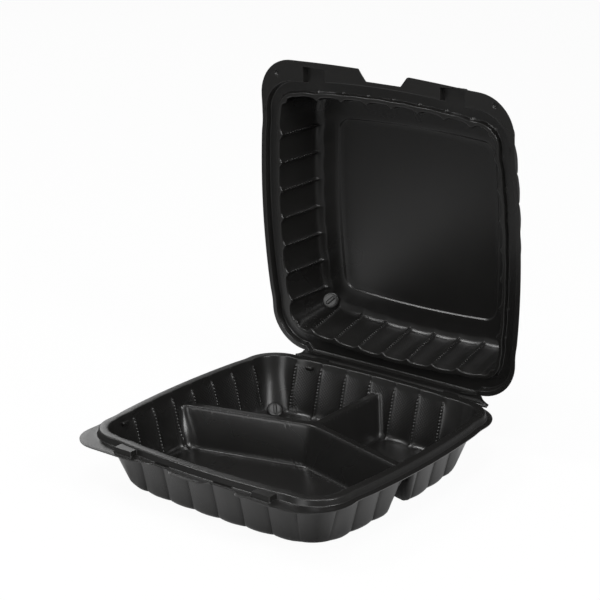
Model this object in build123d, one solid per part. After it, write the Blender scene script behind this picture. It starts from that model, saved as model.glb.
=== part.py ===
from build123d import *
import math
import os

os.makedirs("parts", exist_ok=True)

# Three-compartment clamshell container, one formed sheet: a tray and a lid on a living hinge.
# Frame: origin at the middle of the tray's foot on the table, X along the hinge,
# +Y towards the hinge, Z up. The lid is drawn closed and then swung open.

# Sheet and clearances
sheet = 0.7
fit_gap = 0.4
hinge_gap = 0.34
cut_over = 1.0

# Plan of the fluted rim, the same for the tray and the lid
ridge_half = 97.9
ridge_reach = 67.5
side_bow = 3.6
flute_count = 7
flute_pitch = 22.5
flute_shift = 8.1
flute_sag = 2.0
flute_facets = 3
flank_sag = 1.3
flank_facets = 2
corner_facets = 4
corner_lift = 1.0
corner_radius = 18.0
corner_shrink_share = 0.8
rim_centre = 77.0

# Tray walls: depth below the rim top, and how far the wall has come in there
tray_depth = 42.0
tray_foot_depths = (37.0, 40.5, 42.0)
tray_foot_insets = (9.4, 11.3, 15.0)
foot_out_shares = (1.0, 0.8, 0.3)
foot_down_shares = (0.1, 0.6, 1.0)

# Rim bead and flange
rim_width = 7.6
rim_height = 4.7
rim_flare = 1.0
flange_width = 12.8
flange_back = 112.5
narrow_front = 112.3
wide_front = 117.0

# Lift tab at the front left corner
tab_side = 109.6
tab_radius = 23.0
tab_start = 70.0
plate_inner = 100.0
left_plate_end = 33.0
left_plate_full = 50.0

# Tongue in the middle of the front edge
tongue_front = 117.5
tongue_left = 20.5
tongue_left_full = 14.5
tongue_right_full = 10.0
tongue_right = 18.0

# Front right plate
right_plate_start = 38.0
right_plate_full = 41.0
right_plate_bend = 78.0
right_plate_side = 109.6
right_bend_mid = 100.6
right_bend_mid_front = 106.4

# Latch lugs on the tray and pockets in the lid
lug_spot = 59.6
lug_width = 16.5
lug_front = 113.8
lug_back = 104.0
lug_height = 3.8
pocket_width = 20.0
pocket_front = 118.2

# Divider: a chevron wall across the tray and a stem to the back wall
divider_drop = 12.0
divider_soften = 0.9
divider_soften_drop = 0.7
divider_front = 20.6
divider_rear = 27.2
divider_slope = 0.26
stem_half = 3.2
stem_flare = 2.8
stem_flare_start = 84.0
stem_end = 101.0
wing_flare_front = 2.0
wing_flare_rear = 8.6
wing_flare_start = 82.0
wing_end = 100.5
flare_mid_share = 0.55
flare_rise_share = 0.28
divider_draft = 0.257
divider_foot_rises = (0.0, 1.9, 5.4)

# Lid walls, measured up from the lid's rim plane
lid_depth = 36.5
lid_foot_depths = (31.5, 35.0, 36.5)
lid_foot_insets = (10.6, 12.4, 16.0)
lip_drop = 2.4
lip_width = 3.4
lip_lean = 0.3
panel_half = 69.5
panel_bow = 2.2
panel_corner = 11.0
panel_rise = 1.2
panel_slope = 1.0

# Lid flange
lid_front = 121.7
lid_front_end = 118.8
lid_front_reach = 80.0
lid_corner_side = 109.5
lid_corner_start = 80.0
lid_corner_bend = 88.5
lid_corner_mid = 100.9
lid_corner_mid_front = 109.9
notch_half = 20.0
notch_floor_half = 13.0
notch_floor = 113.9
pip_spot = 94.0
pip_front = 110.7
pip_radius = 2.2
pip_height = 0.9
pip_hollow = 1.5
pip_facets = 10

# Living hinge
hinge_reach = 3.34
hinge_drop = 6.69
hinge_half = 88.0
strip_overlap = 9.5
strip_set = 0.2
open_angle = 85.6

# Raised round marks at the foot of the back left corners, and stacking lugs under the rim
mark_radius = 6.5
mark_back = 5.0
mark_bar_width = 1.6
mark_bar_rise = 0.5
mark_tilt = 36.0
tray_mark_spot = 82.2
tray_mark_drop = 38.1
lid_mark_spot = 81.6
lid_mark_rise = 32.8
stack_lug_long = 6.0
stack_lug_deep = 4.0
stack_lug_tall = 3.0
stack_lug_drop = 6.5
stack_lug_left_y = -70.0
stack_lug_back_x = -60.0
stack_lug_reach = 97.0

rim_top = tray_depth + sheet
flange_top = rim_top - rim_height
hinge_y = flange_back + hinge_reach
hinge_z = rim_top - hinge_drop
strip_root = flange_back - strip_overlap
strip_bend = flange_back
lid_plane = rim_top + fit_gap
lid_flange_under = flange_top + fit_gap


def side_line(s):
    """Distance of the bowed side from the middle at the place s along it."""
    return ridge_half + side_bow * (1 - (s / ridge_reach) ** 2)


def on_side(turn, s, reach, z):
    """Point on one of the four sides, turn counting quarter turns from the right side."""
    angle = math.radians(90 * turn)
    x = reach * math.cos(angle) - s * math.sin(angle)
    y = reach * math.sin(angle) + s * math.cos(angle)
    return Vector(x, y, z)


def bulged(turn, start, end, sag, facets, inset, z):
    """Points along one outward panel between two places on a side, without the last one."""
    points = []
    for step in range(facets):
        share = step / facets
        s = start + (end - start) * share
        crown = sag * (1 - (2 * share - 1) ** 2)
        points.append(on_side(turn, s, side_line(s) - inset + crown, z))
    return points


def fluted_wire(inset, z):
    """Closed outline with a bowed row of flutes on each side and plain rounded corners."""
    points = []
    for turn in range(4):
        shift = flute_shift if turn % 2 else -flute_shift
        spots = [(k - (flute_count - 1) / 2) * flute_pitch + shift for k in range(flute_count)]
        for start, end in zip(spots, spots[1:]):
            points += bulged(turn, start, end, flute_sag, flute_facets, inset, z)
        last = spots[-1]
        radius = corner_radius - corner_shrink_share * inset
        reach = side_line(rim_centre) + corner_lift - inset
        bend = reach - radius
        if shift > 0:
            points.append(on_side(turn, last, side_line(last) - inset, z))
        else:
            points += bulged(turn, last, bend, flank_sag, flank_facets, inset, z)
        for step in range(corner_facets + 1):
            angle = math.radians(90 * step / corner_facets)
            along = bend + radius * math.sin(angle)
            out = bend + radius * math.cos(angle)
            points.append(on_side(turn, along, out, z))
        if shift < 0:
            points += bulged(turn + 1, -bend, -last, flank_sag, flank_facets, inset, z)[1:]
    return Wire.make_polygon(points, close=True)


def bowed_wire(out, z):
    """Closed smooth outline that keeps the distance out from the line of the ridges."""
    edges = []
    reach = side_line(rim_centre) + out
    diagonal = rim_centre + (reach - rim_centre) / math.sqrt(2)
    for turn in range(4):
        start = on_side(turn, -rim_centre, reach, z)
        crown = on_side(turn, 0, side_line(0) + out, z)
        end = on_side(turn, rim_centre, reach, z)
        bend = on_side(turn, diagonal, diagonal, z)
        next_start = on_side(turn + 1, -rim_centre, reach, z)
        edges.append(ThreePointArc(start, crown, end))
        edges.append(ThreePointArc(end, bend, next_start))
    return Wire(edges)


def ruled(wires):
    """Solid with straight walls from each outline to the next."""
    return Solid.make_loft(wires, True)


def plate(wire, height):
    """Flat plate of the given height on a closed outline."""
    return extrude(Face(wire), height, dir=(0, 0, 1))


def box(x0, x1, y0, y1, z0, z1):
    """Block between two corners."""
    block = Box(x1 - x0, y1 - y0, z1 - z0)
    return block.move(Location(((x0 + x1) / 2, (y0 + y1) / 2, (z0 + z1) / 2)))


def prism(x, y, radius, facets, z0, z1):
    """Upright prism with a regular outline round a point."""
    turns = [2 * math.pi * step / facets for step in range(facets)]
    points = [(x + radius * math.cos(turn), y + radius * math.sin(turn), z0) for turn in turns]
    return plate(Wire.make_polygon(points, close=True), z1 - z0)


def outline(points, z):
    """Closed outline through plan points; a point with three items is passed on an arc."""
    edges = []
    count = len(points)
    i = 0
    while i < count:
        a = points[i]
        b = points[(i + 1) % count]
        if len(b) == 3:
            c = points[(i + 2) % count]
            edges.append(ThreePointArc((a[0], a[1], z), (b[0], b[1], z), (c[0], c[1], z)))
            i += 2
        else:
            edges.append(Line((a[0], a[1], z), (b[0], b[1], z)))
            i += 1
    return Wire(edges)


def divider_wire(rise, inset, trim, z):
    """Outline of the divider where its faces have moved out by rise and come in by trim."""
    lean = math.hypot(1, divider_slope)
    out = (rise - trim) * lean
    stem = stem_half + rise - trim
    far = wing_end + rim_width + cut_over

    def front(x):
        return divider_front - divider_slope * abs(x) - out

    def rear(x):
        return divider_rear - divider_slope * abs(x) + out

    start = wing_flare_start - inset
    end = wing_end - inset
    mid = start + (end - start) * flare_mid_share
    run = [(start, 0), (mid, flare_rise_share), (end, 1), (far, 1)]
    left_front = [(-x, front(x) - wing_flare_front * share) for x, share in reversed(run)]
    right_front = [(x, front(x) - wing_flare_front * share) for x, share in run]
    right_rear = [(x, rear(x) + wing_flare_rear * share) for x, share in reversed(run)]
    left_rear = [(-x, rear(x) + wing_flare_rear * share) for x, share in run]
    stem_start = stem_flare_start - inset
    stem_stop = stem_end - inset
    right_stem = [
        (stem, rear(stem)),
        (stem, stem_start),
        (stem + stem_flare, stem_stop),
        (stem + stem_flare, far),
    ]
    left_stem = [(-x, y) for x, y in reversed(right_stem)]
    points = left_front + [(0, front(0))] + right_front + right_rear + right_stem + left_stem + left_rear
    return outline(points, z)


def divider_body(trim, foot_extra):
    """Chevron and stem with leaning faces; trim draws all faces in for the hollow below."""
    top = rim_top - divider_drop - trim
    wall_share = tray_foot_insets[0] / tray_foot_depths[0]
    wires = [
        divider_wire(-divider_soften, divider_drop * wall_share, trim, top),
        divider_wire(0, divider_drop * wall_share, trim, top - divider_soften_drop),
    ]
    for depth, inset, extra in zip(tray_foot_depths, tray_foot_insets, divider_foot_rises):
        rise = (depth - divider_drop) * divider_draft + extra
        wires.append(divider_wire(rise, inset, trim, rim_top - depth - trim * foot_extra))
    rise = (tray_depth - divider_drop) * divider_draft + divider_foot_rises[-1]
    low = -cut_over - trim
    wires.append(divider_wire(rise, tray_foot_insets[-1], trim, low))
    return ruled(wires)


def round_mark(spot_x, spot_y, spot_z, tilt, turn):
    """Low round mark with a bar across it, lying on a sloping corner."""
    disc = Cylinder(mark_radius, mark_back).move(Location((0, 0, -mark_back / 2)))
    bar_tall = mark_back + mark_bar_rise
    bar = Box(mark_radius, mark_bar_width, bar_tall).move(Location((0, 0, bar_tall / 2 - mark_back)))
    mark = disc + bar
    return mark.moved(Location((spot_x, spot_y, spot_z), (0, 0, turn)) * Location((0, 0, 0), (0, tilt, 0)))


# Tray: the wells inside and outside the sheet
tray_levels = list(zip(tray_foot_depths, tray_foot_insets))
top_rise = cut_over * tray_foot_insets[0] / tray_foot_depths[0]
tray_inside = ruled(
    [fluted_wire(-top_rise, rim_top + cut_over)]
    + [fluted_wire(inset, rim_top - depth) for depth, inset in tray_levels]
)
tray_outside = ruled(
    [fluted_wire(-sheet, rim_top)]
    + [
        fluted_wire(inset - sheet * out, rim_top - depth - sheet * down)
        for (depth, inset), out, down in zip(tray_levels, foot_out_shares, foot_down_shares)
    ]
)

# Tray rim bead, flange plates, lugs and hinge strip, with the hollow under the bead
tray_bead = ruled(
    [bowed_wire(rim_width, rim_top), bowed_wire(rim_width + rim_flare, flange_top - sheet)]
)
bead_hollow = ruled(
    [
        bowed_wire(rim_width - sheet, rim_top - sheet),
        bowed_wire(rim_width + rim_flare - sheet, flange_top - sheet - cut_over),
    ]
)
flange_low = flange_top - sheet
tray_flange = plate(bowed_wire(flange_width, flange_low), sheet)
tray_flange -= box(-flange_back, flange_back, -tongue_front, -narrow_front, 0, rim_top)
tray_flange -= box(-flange_back, flange_back, flange_back, tongue_front, 0, rim_top)
tab_bend = tab_radius * (1 - 1 / math.sqrt(2))
left_plate = [
    (-left_plate_end, -narrow_front),
    (-left_plate_end, -plate_inner),
    (-plate_inner, -tab_start),
    (-tab_side, -tab_start),
    (-tab_side, tab_radius - wide_front),
    (tab_bend - tab_side, tab_bend - wide_front, "arc"),
    (tab_radius - tab_side, -wide_front),
    (-left_plate_full, -wide_front),
]
right_plate = [
    (right_plate_start, -narrow_front),
    (right_plate_full, -wide_front),
    (right_plate_bend, -wide_front),
    (right_bend_mid, -right_bend_mid_front, "arc"),
    (right_plate_side, -rim_centre),
    (plate_inner, -rim_centre),
    (right_plate_start, -plate_inner),
]
tongue = [
    (-tongue_left, -narrow_front),
    (-tongue_left_full, -tongue_front),
    (tongue_right_full, -tongue_front),
    (tongue_right, -narrow_front),
    (tongue_right, -plate_inner),
    (-tongue_left, -plate_inner),
]
for points in (left_plate, right_plate, tongue):
    tray_flange += plate(outline(points, flange_low), sheet)

strip_low = flange_top - sheet
strip_end = hinge_y - hinge_gap
strip_points = [
    (strip_root, flange_top),
    (strip_bend, flange_top),
    (strip_end, hinge_z - strip_set),
    (strip_end, hinge_z - strip_set - sheet),
    (strip_bend - sheet / 2, strip_low),
    (strip_root, strip_low),
]
strip_face = Face(Wire.make_polygon([(-hinge_half, y, z) for y, z in strip_points], close=True))
tray_strip = extrude(strip_face, 2 * hinge_half, dir=(1, 0, 0))

tray_rim = tray_bead + tray_flange + tray_strip
lug_top = flange_top + lug_height
for spot in (-lug_spot, lug_spot):
    half = lug_width / 2
    tray_rim += box(spot - half, spot + half, -lug_front, -lug_back, flange_low, lug_top)
tray_rim -= bead_hollow
for spot in (-lug_spot, lug_spot):
    half = lug_width / 2 - sheet
    low = flange_low - cut_over
    tray_rim -= box(spot - half, spot + half, sheet - lug_front, -lug_back, low, lug_top - sheet)

# Tray: sheet around the three compartments, open from above, and hollow under the divider
tray_shell = tray_outside - divider_body(sheet, 1)
tray_hold = tray_inside - divider_body(0, 0)
tray = tray_shell + tray_rim
tray = tray - tray_hold
tray_mark = round_mark(-tray_mark_spot, tray_mark_spot, rim_top - tray_mark_drop, mark_tilt, -45)
tray += tray_mark & tray_outside
lug_long = stack_lug_long / 2
lug_z = rim_top - stack_lug_drop
tray += box(
    -stack_lug_reach - stack_lug_deep / 2,
    -stack_lug_reach + stack_lug_deep / 2,
    stack_lug_left_y - lug_long,
    stack_lug_left_y + lug_long,
    lug_z,
    lug_z + stack_lug_tall,
)
tray += box(
    stack_lug_back_x - lug_long,
    stack_lug_back_x + lug_long,
    stack_lug_reach - stack_lug_deep / 2,
    stack_lug_reach + stack_lug_deep / 2,
    lug_z,
    lug_z + stack_lug_tall,
)

# Lid, drawn closed: fluted walls, roof with a raised middle panel
lid_levels = list(zip(lid_foot_depths, lid_foot_insets))
lip_low = lid_plane - lip_drop
lip_inset = (rim_top - lip_low) * tray_foot_insets[0] / tray_foot_depths[0] + fit_gap
mouth_inset = lip_inset + lip_width
lid_draft_share = (lid_foot_insets[0] - mouth_inset) / (lid_foot_depths[0] + lip_drop)
lid_inside = ruled(
    [fluted_wire(mouth_inset - cut_over * lid_draft_share, lip_low - cut_over)]
    + [fluted_wire(inset, lid_plane + depth) for depth, inset in lid_levels]
)
lid_outside = ruled(
    [fluted_wire(mouth_inset - sheet, lip_low)]
    + [
        fluted_wire(inset - sheet * out, lid_plane + depth + sheet * down)
        for (depth, inset), out, down in zip(lid_levels, foot_out_shares, foot_down_shares)
    ]
)
# Lip that goes down inside the tray's rim, with the groove that it leaves above
lip = ruled([fluted_wire(lip_inset, lip_low), fluted_wire(lip_inset - lip_lean, lid_plane + sheet)])
lip_groove = ruled(
    [
        fluted_wire(lip_inset + sheet, lip_low + sheet),
        fluted_wire(lip_inset - lip_lean + sheet, lid_plane + sheet + cut_over),
    ]
)


def panel_wire(out, z):
    """Rounded square of the roof panel with slightly bowed sides."""
    edges = []
    reach = panel_half + out
    spot = panel_half - panel_corner
    diagonal = spot + (reach - spot) / math.sqrt(2)
    for turn in range(4):
        start = on_side(turn, -spot, reach, z)
        crown = on_side(turn, 0, reach + panel_bow, z)
        end = on_side(turn, spot, reach, z)
        bend = on_side(turn, diagonal, diagonal, z)
        edges.append(ThreePointArc(start, crown, end))
        edges.append(ThreePointArc(end, bend, on_side(turn + 1, -spot, reach, z)))
    return Wire(edges)


roof_under = lid_plane + lid_depth
roof_top = roof_under + sheet
panel_top = roof_under + panel_rise
panel_inside = ruled([panel_wire(0, roof_under - cut_over), panel_wire(-panel_slope, panel_top)])
panel_outside = ruled([panel_wire(sheet, roof_under), panel_wire(sheet - panel_slope, panel_top + sheet)])

# Lid rim: a channel over the tray's bead, flange with pockets, notch and pips
channel_out = rim_width + fit_gap
channel_low = channel_out + rim_flare
lid_bead = ruled(
    [bowed_wire(channel_low + sheet, lid_flange_under), bowed_wire(channel_out + sheet, lid_plane + sheet)]
)
channel_lean_share = rim_flare / rim_height
channel = ruled(
    [
        bowed_wire(channel_low + cut_over * channel_lean_share, lid_flange_under - cut_over),
        bowed_wire(channel_out, lid_plane),
    ]
)
lid_flange = plate(bowed_wire(flange_width, lid_flange_under), sheet)
lid_flange -= box(-flange_back, flange_back, flange_back, tongue_front, 0, roof_top)
lid_apron = [
    (-lid_front_reach, -lid_front_end),
    (0, -lid_front, "arc"),
    (lid_front_reach, -lid_front_end),
    (lid_corner_mid, -lid_corner_mid_front, "arc"),
    (lid_corner_side, -lid_corner_bend),
    (lid_corner_side, -lid_corner_start),
    (plate_inner, -lid_corner_start),
    (-plate_inner, -lid_corner_start),
    (-lid_corner_side, -lid_corner_start),
    (-lid_corner_side, -lid_corner_bend),
    (-lid_corner_mid, -lid_corner_mid_front, "arc"),
]
lid_flange += plate(outline(lid_apron, lid_flange_under), sheet)
notch_far = lid_front + cut_over
notch_lean = (notch_half - notch_floor_half) * notch_far / lid_front
notch_points = [
    (-notch_floor_half, -notch_floor),
    (notch_floor_half, -notch_floor),
    (notch_floor_half + notch_lean, -notch_far),
    (-notch_floor_half - notch_lean, -notch_far),
]
lid_flange -= plate(outline(notch_points, 0), roof_top)

lid_strip_points = [
    (strip_root, lid_flange_under + sheet),
    (strip_bend + sheet / 2, lid_flange_under + sheet),
    (strip_end, hinge_z + strip_set + sheet),
    (strip_end, hinge_z + strip_set),
    (strip_bend + strip_set, lid_flange_under),
    (strip_root, lid_flange_under),
]
lid_strip_face = Face(Wire.make_polygon([(-hinge_half, y, z) for y, z in lid_strip_points], close=True))
lid_strip = extrude(lid_strip_face, 2 * hinge_half, dir=(1, 0, 0))

lid_rim = lid_bead + lid_flange + lid_strip
pocket_top = lid_plane + sheet
for spot in (-lug_spot, lug_spot):
    half = pocket_width / 2 + sheet
    lid_rim += box(spot - half, spot + half, -pocket_front - sheet, -lug_back, lid_flange_under, pocket_top)
lid_rim -= channel
for spot in (-lug_spot, lug_spot):
    half = pocket_width / 2
    low = lid_flange_under - cut_over
    lid_rim -= box(spot - half, spot + half, -pocket_front, -lug_back, low, lid_plane)
for spot in (-pip_spot, pip_spot):
    pip_top = lid_flange_under + sheet + pip_height
    lid_rim += prism(spot, -pip_front, pip_radius, pip_facets, lid_flange_under, pip_top)
    low = lid_flange_under - cut_over
    lid_rim -= prism(spot, -pip_front, pip_hollow, pip_facets, low, pip_top - sheet)

lid = (lid_rim + lip) - lip_groove
lid = lid + lid_outside + panel_outside
lid = lid - lid_inside - panel_inside
lid_mark = round_mark(-lid_mark_spot, lid_mark_spot, lid_plane + lid_mark_rise, 180 - mark_tilt, -45)
lid += lid_mark & lid_outside

# The lid stands open in the drawn pose
hinge_axis = Axis((0, hinge_y, hinge_z), (1, 0, 0))
lid = lid.rotate(hinge_axis, -open_angle)

for name, body in (("tray", tray), ("lid", lid)):
    solids = body.solids()
    solids.sort(key=lambda piece: piece.volume)
    export_step(solids[-1], "parts/" + name + ".step")
    print(name, len(solids), round(solids[-1].volume), solids[-1].is_valid, solids[-1].bounding_box())
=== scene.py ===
"""Dress the clamshell food container: formed black sheet, soft studio light and the camera."""
import logging
import math
from dataclasses import dataclass, field
from enum import Enum
from typing import Callable, Sequence

import bmesh
import bpy
import numpy as np
from mathutils import Matrix, Vector
from mathutils.geometry import delaunay_2d_cdt


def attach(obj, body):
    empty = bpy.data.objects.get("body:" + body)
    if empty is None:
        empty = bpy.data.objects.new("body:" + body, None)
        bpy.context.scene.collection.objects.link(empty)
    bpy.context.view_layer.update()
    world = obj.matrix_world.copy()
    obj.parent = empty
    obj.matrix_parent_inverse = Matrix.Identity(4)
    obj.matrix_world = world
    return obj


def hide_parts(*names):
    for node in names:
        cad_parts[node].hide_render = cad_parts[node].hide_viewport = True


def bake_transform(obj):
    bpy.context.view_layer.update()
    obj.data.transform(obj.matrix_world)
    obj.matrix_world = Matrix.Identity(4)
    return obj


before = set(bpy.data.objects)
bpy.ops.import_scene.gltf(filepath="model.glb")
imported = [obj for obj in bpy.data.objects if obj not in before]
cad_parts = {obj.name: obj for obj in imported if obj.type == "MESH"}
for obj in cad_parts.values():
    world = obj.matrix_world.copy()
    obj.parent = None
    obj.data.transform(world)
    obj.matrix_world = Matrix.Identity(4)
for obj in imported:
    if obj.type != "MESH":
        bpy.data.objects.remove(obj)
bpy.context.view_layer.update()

LOG = logging.getLogger("container")
MM = 0.001
RIM_TOP = 42.7
SHEET = 0.7
FULL_TURN = 2 * math.pi
OUTWARD = (1.0, 0.0)
SIDE_STRIDE = 200.0
Array = np.ndarray
Object = bpy.types.Object
Socket = bpy.types.NodeSocket
Triple = tuple[float, float, float]
Steps = tuple[float, ...]
Pairs = list[tuple[float, float]]
Move = Callable[[Array], Array]
Inputs = dict[str | int, object]


class Side(Enum):
    """The four sides of the container, as quarter turns from the right side."""

    RIGHT = 0
    BACK = 1
    LEFT = 2
    FRONT = 3


def smooth_step(value: Array | float) -> Array:
    """Return the smooth ramp from 0 to 1 of values between 0 and 1."""
    t = np.clip(value, 0.0, 1.0)
    return t * t * (3.0 - 2.0 * t)


@dataclass(frozen=True)
class Ramp:
    """Smooth change from 0 at a start to 1 after a run, which is negative where it goes down."""

    start: float
    run: float

    def at(self, value: Array | float) -> Array:
        """Share of the change at a value."""
        return smooth_step((value - self.start) / self.run)


# Share of the hatch and of the row of dots, by the distance from the nearest ridge.
HATCH = Ramp(1.6, 1.2)
BEADS = Ramp(1.2, -1.2)


def swing(y: Array | float, z: Array | float, degrees: float) -> tuple[Array | float, Array | float]:
    """Turn places (y, z) about the X axis by an angle."""
    a = math.radians(degrees)
    return y * math.cos(a) - z * math.sin(a), y * math.sin(a) + z * math.cos(a)


def to_row(points: Array) -> Array:
    """Take points measured from the tray's rim top to the row frame."""
    return points + np.array([0.0, 0.0, RIM_TOP])


def add_object(name: str, data: bpy.types.ID) -> Object:
    """Make an object of its data and link it to the scene."""
    obj = bpy.data.objects.new(name, data)
    bpy.context.scene.collection.objects.link(obj)
    return obj


def soft_min(a: Array, b: Array, width: Array | float) -> Array:
    """Blend two distances so that their meeting line becomes a rounded hollow.

    Args:
        a: First distance.
        b: Second distance.
        width: Width over which they blend.

    Returns:
        The smaller of the two, drawn down where they are alike.
    """
    h = np.clip(1.0 - np.abs(a - b) / width, 0.0, 1.0)
    return np.minimum(a, b) - h * h * width * 0.25


def fillet(before: Sequence[float], after: Sequence[float], radius: float, steps: int) -> Pairs:
    """Points of a rounded bend between two directions of a section.

    Args:
        before: Direction that comes to the corner, as (out, up).
        after: Direction that leaves the corner.
        radius: Radius of the bend.
        steps: Number of straight pieces.

    Returns:
        Offsets from the sharp corner, as (out, up).
    """
    u = np.array(before, float) / np.hypot(*before)
    v = np.array(after, float) / np.hypot(*after)
    theta = math.acos(float(np.clip(u @ v, -1.0, 1.0)))
    side = (v - (u @ v) * u) / math.sin(theta)
    centre = -u * radius * math.tan(theta / 2) + side * radius
    turns = [theta * k / steps for k in range(steps + 1)]
    points = [centre - side * radius * math.cos(t) + u * radius * math.sin(t) for t in turns]
    return [(float(p[0]), float(p[1])) for p in points]


def in_polygon(x: Array, y: Array, points: Sequence[Sequence[float]]) -> Array:
    """Tell which plan points lie inside a closed polygon.

    Args:
        x: Places along X.
        y: Places along Y.
        points: Corners of the polygon.

    Returns:
        True for each point inside.
    """
    inside = np.zeros(np.shape(x), bool)
    for (x0, y0), (x1, y1) in zip(points, list(points[1:]) + [points[0]]):
        if y0 == y1:
            continue
        crosses = (y0 > y) != (y1 > y)
        inside ^= crosses & (x < (x1 - x0) * (y - y0) / (y1 - y0) + x0)
    return inside


def arc_through(a: Sequence[float], b: Sequence[float], c: Sequence[float], steps: int) -> Pairs:
    """Points on the circle from a through b to c.

    Args:
        a: First point.
        b: Point on the way.
        c: Last point.
        steps: Number of straight pieces.

    Returns:
        The points, both ends included.
    """
    m = np.array([[2 * (p[0] - a[0]), 2 * (p[1] - a[1])] for p in (b, c)])
    k = np.array([p[0] ** 2 - a[0] ** 2 + p[1] ** 2 - a[1] ** 2 for p in (b, c)])
    centre = np.linalg.solve(m, k)
    radius = math.hypot(a[0] - centre[0], a[1] - centre[1])
    turns = [math.atan2(p[1] - centre[1], p[0] - centre[0]) for p in (a, b, c)]
    sweep = (turns[2] - turns[0]) % FULL_TURN
    if (turns[1] - turns[0]) % FULL_TURN > sweep:
        sweep -= FULL_TURN
    places = [turns[0] + sweep * i / steps for i in range(steps + 1)]
    return [(centre[0] + radius * math.cos(t), centre[1] + radius * math.sin(t)) for t in places]


@dataclass(frozen=True)
class NodeGraph:
    """Short way to add shader nodes and join them."""

    tree: bpy.types.NodeTree

    def feed(self, node: bpy.types.Node, inputs: Inputs) -> None:
        """Join sockets to a node's inputs, or set the values of the inputs.

        Args:
            node: The node.
            inputs: For each input, the socket that feeds it or its value.
        """
        for key, value in inputs.items():
            if isinstance(value, Socket):
                self.tree.links.new(value, node.inputs[key])
            else:
                node.inputs[key].default_value = value

    def add(self, kind: str, inputs: Inputs) -> bpy.types.Node:
        """Add a node, its kind named without the prefix, and feed it."""
        node = self.tree.nodes.new("ShaderNode" + kind)
        self.feed(node, inputs)
        return node

    def calc(self, operation: str, *values: Socket | float) -> Socket:
        """Add a calculation.

        Args:
            operation: Name of the operation, set first because the inputs depend on it.
            values: Sockets or numbers that it works on.

        Returns:
            The socket that holds the result.
        """
        node = self.add("Math", {})
        node.operation = operation
        self.feed(node, dict(enumerate(values)))
        return node.outputs["Value"]

    def ramp(self, value: Socket, start: Steps, end: Steps, kind: str = "LINEAR") -> Socket:
        """Map one range of values to another.

        Args:
            value: Socket that gives the value.
            start: Ends of the range that it comes from.
            end: Ends of the range that it goes to.
            kind: Kind of interpolation.

        Returns:
            The socket that holds the result.
        """
        names = ("From Min", "From Max", "To Min", "To Max")
        node = self.add("MapRange", {"Value": value, **dict(zip(names, (*start, *end)))})
        node.interpolation_type = kind
        return node.outputs["Result"]


@dataclass(frozen=True)
class FormedSheet:
    """Black polypropylene sheet with a satin skin and a fine hatch pressed into the wall panels."""

    colour: Triple = (0.0092, 0.0089, 0.0085)
    smooth: float = 0.25
    rough: float = 0.33
    specular: float = 0.5
    hatch_pitch: float = 1.7
    hatch_depth: float = 0.3
    bead_pitch: float = 2.4
    grain_depth: float = 0.05
    cloud_scale: float = 14.0
    cloud_range: Steps = (0.3, 0.7)
    tints: Steps = (0.86, 1.16)
    grain_scale: float = 900.0
    grain_height: float = 0.0004
    noise_detail: float = 2.0

    def material(self, name: str) -> bpy.types.Material:
        """Build the node material of the sheet.

        Args:
            name: Name of the material.

        Returns:
            The new material.
        """
        mat = bpy.data.materials.new(name)
        mat.use_nodes = True
        graph = NodeGraph(mat.node_tree)
        coords = graph.add("TexCoord", {}).outputs["Object"]
        noise = {"Vector": coords, "Detail": self.noise_detail}
        cloud = graph.add("TexNoise", {**noise, "Scale": self.cloud_scale}).outputs["Fac"]
        tint = graph.add("Mix", {})
        tint.data_type = "RGBA"
        dark, pale = ((*[c * level for c in self.colour], 1.0) for level in self.tints)
        graph.feed(tint, {"A": dark, "B": pale, "Factor": cloud})
        grain = graph.add("TexNoise", {**noise, "Scale": self.grain_scale}).outputs["Fac"]
        fine = {"Strength": self.grain_depth, "Distance": self.grain_height, "Height": grain}
        skin = graph.add("Attribute", {})
        skin.attribute_name = "wall_place"
        hatch = {
            "Strength": 1.0,
            "Distance": self.hatch_depth * MM,
            "Height": self._relief(graph, skin.outputs["Vector"]),
            "Normal": graph.add("Bump", fine).outputs["Normal"],
        }
        shader = {
            "Specular IOR Level": self.specular,
            "Roughness": graph.ramp(cloud, self.cloud_range, (self.smooth, self.rough)),
            "Base Color": tint.outputs["Result"],
            "Normal": graph.add("Bump", hatch).outputs["Normal"],
        }
        graph.feed(mat.node_tree.nodes["Principled BSDF"], shader)
        return mat

    def _relief(self, graph: NodeGraph, skin: Socket) -> Socket:
        """Make the height of the hatch and the dots from the wall's own coordinates.

        Args:
            graph: Nodes of the material.
            skin: Socket that gives the place along and up the wall, and the share of hatch or dots.

        Returns:
            The socket that holds the height.
        """
        place = graph.add("SeparateXYZ", {"Vector": skin}).outputs
        lines = []
        for lean in (1.0, -1.0):
            slant = graph.calc("MULTIPLY_ADD", place["Y"], lean, place["X"])
            wave = graph.calc("MULTIPLY", slant, FULL_TURN / (self.hatch_pitch * math.sqrt(2)))
            lines.append(graph.calc("MULTIPLY_ADD", graph.calc("SINE", wave), 0.5, 0.5))
        panel = graph.calc("MAXIMUM", place["Z"], 0.0)
        pressed = graph.calc("MULTIPLY", graph.calc("MULTIPLY", *lines), panel)
        ribs = graph.calc("MINIMUM", place["Z"], 0.0)
        dots = graph.calc("SINE", graph.calc("MULTIPLY", place["Y"], FULL_TURN / self.bead_pitch))
        return graph.calc("MULTIPLY_ADD", dots, ribs, pressed)


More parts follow.
